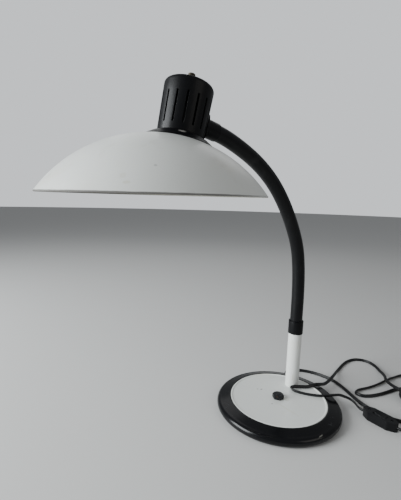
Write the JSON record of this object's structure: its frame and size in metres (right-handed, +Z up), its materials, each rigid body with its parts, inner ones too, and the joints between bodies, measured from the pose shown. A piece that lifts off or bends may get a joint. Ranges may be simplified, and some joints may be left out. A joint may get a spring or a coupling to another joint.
{
  "type": "desk lamp",
  "caption": "Desk lamp with a round weighted base, a flexible gooseneck arm, a white domed shade, a vented lampholder cover and a flex with an in-line switch.",
  "frame": {"origin": "centre of the base on the surface the lamp stands on", "axes": "+Z up; the neck bends in the plane y = 0.0125 m, the post stands on the +X side and the head hangs over the -X side"},
  "size_m": [0.6572, 0.3281, 0.466],
  "materials": {
    "pad": "matt rubberised felt",
    "iron": "bare casting",
    "rim_black": "glossy moulded black with scuffs",
    "enamel": "aged off-white enamel, satin",
    "steel_dark": "blackened steel",
    "steel": "plated steel",
    "rubber_black": "soft black",
    "flex_black": "satin black flex",
    "cover_black": "semi-gloss black",
    "holder_black": "black bakelite",
    "neck_black": "matt black sleeve",
    "brass": "bright brass",
    "tie": "black tie",
    "switch_black": "glossy black",
    "pin_metal": "nickel plated"
  },
  "bodies": {
    "base": {"base_pad": "pad", "base_weight": "iron", "rim_ring": "rim_black", "base_disc": "enamel", "tie_bolt": "steel_dark", "centre_nut": "steel_dark", "cord_bush": "rubber_black", "base_lead": "flex_black", "post_tube": "enamel", "post_plug": "steel", "lower_ferrule": "cover_black", "neck_core_0": "steel", "neck_sleeve_0": "neck_black", "cord_a": "flex_black", "cord_coil": "flex_black", "coil_tie": "tie", "cord_b": "flex_black", "cord_c": "flex_black", "switch_base": "switch_black", "switch_lid": "switch_black", "switch_screws": "steel", "plug_body": "rubber_black", "plug_pins": "pin_metal"},
    "neck_1": {"neck_core_1": "steel", "neck_sleeve_1": "neck_black"},
    "neck_2": {"neck_core_2": "steel", "neck_sleeve_2": "neck_black"},
    "neck_3": {"neck_core_3": "steel", "neck_sleeve_3": "neck_black"},
    "neck_4": {"neck_core_4": "steel", "neck_sleeve_4": "neck_black"},
    "neck_5": {"neck_core_5": "steel", "neck_sleeve_5": "neck_black"},
    "neck_6": {"neck_core_6": "steel", "neck_sleeve_6": "neck_black"},
    "neck_7": {"neck_core_7": "steel", "neck_sleeve_7": "neck_black"},
    "neck_8": {"neck_core_8": "steel", "neck_sleeve_8": "neck_black"},
    "head": {"neck_core_9": "steel", "neck_sleeve_9": "neck_black", "upper_ferrule": "cover_black", "saddle_plate": "cover_black", "neck_bolt": "steel", "lock_nut": "steel", "cover": "cover_black", "flange": "cover_black", "shade": "enamel", "lampholder": "holder_black", "screw_shell": "brass", "centre_contact": "brass", "shade_ring": "holder_black", "nipple": "steel", "nipple_nut": "steel"},
    "rocker": {"switch_rocker": "switch_black"}
  },
  "joints": [
    {"name": "neck_bend_1", "type": "hinge", "parent": "base", "child": "neck_1", "pos_m": [0.0505, 0.0125, 0.153], "axis": [0.0005, -1, 0.0005], "range_deg": [-5, 5]},
    {"name": "neck_sway_1", "type": "hinge", "parent": "neck_1", "child": "neck_2", "pos_m": [0.04931, 0.0125, 0.19298], "axis": [0.9982, 0, 0.0593], "range_deg": [-8, 8]},
    {"name": "neck_bend_2", "type": "hinge", "parent": "neck_2", "child": "neck_3", "pos_m": [0.04455, 0.0125, 0.23267], "axis": [0.0005, -1, 0.0005], "range_deg": [-5, 5]},
    {"name": "neck_bend_3", "type": "hinge", "parent": "neck_3", "child": "neck_4", "pos_m": [0.03209, 0.0125, 0.27055], "axis": [0.0005, -1, 0.0005], "range_deg": [-5, 5]},
    {"name": "neck_sway_2", "type": "hinge", "parent": "neck_4", "child": "neck_5", "pos_m": [0.01217, 0.0125, 0.3052], "axis": [0.832, 0, 0.5548], "range_deg": [-8, 8]},
    {"name": "neck_bend_4", "type": "hinge", "parent": "neck_5", "child": "neck_6", "pos_m": [-0.01238, 0.0125, 0.33673], "axis": [0.0005, -1, 0.0005], "range_deg": [-5, 5]},
    {"name": "neck_bend_5", "type": "hinge", "parent": "neck_6", "child": "neck_7", "pos_m": [-0.04206, 0.0125, 0.36345], "axis": [0.0005, -1, 0.0005], "range_deg": [-5, 5]},
    {"name": "neck_sway_3", "type": "hinge", "parent": "neck_7", "child": "neck_8", "pos_m": [-0.07628, 0.0125, 0.38405], "axis": [0.4384, 0, 0.8988], "range_deg": [-8, 8]},
    {"name": "neck_bend_6", "type": "hinge", "parent": "neck_8", "child": "head", "pos_m": [-0.11314, 0.0125, 0.39955], "axis": [0.0005, -1, 0.0005], "range_deg": [-5, 5]},
    {"name": "switch_rocker", "type": "hinge", "parent": "base", "child": "rocker", "pos_m": [0.0945, -0.117, 0.011], "axis": [-0.9994, 0.0349, 0], "range_deg": [0, 18]}
  ],
  "couplings": [
    {"joint": "neck_bend_2", "follows": "neck_bend_1", "ratio": 1},
    {"joint": "neck_bend_3", "follows": "neck_bend_1", "ratio": 1},
    {"joint": "neck_sway_2", "follows": "neck_sway_1", "ratio": 1},
    {"joint": "neck_bend_4", "follows": "neck_bend_1", "ratio": 1},
    {"joint": "neck_bend_5", "follows": "neck_bend_1", "ratio": 1},
    {"joint": "neck_sway_3", "follows": "neck_sway_1", "ratio": 1},
    {"joint": "neck_bend_6", "follows": "neck_bend_1", "ratio": 1}
  ]
}
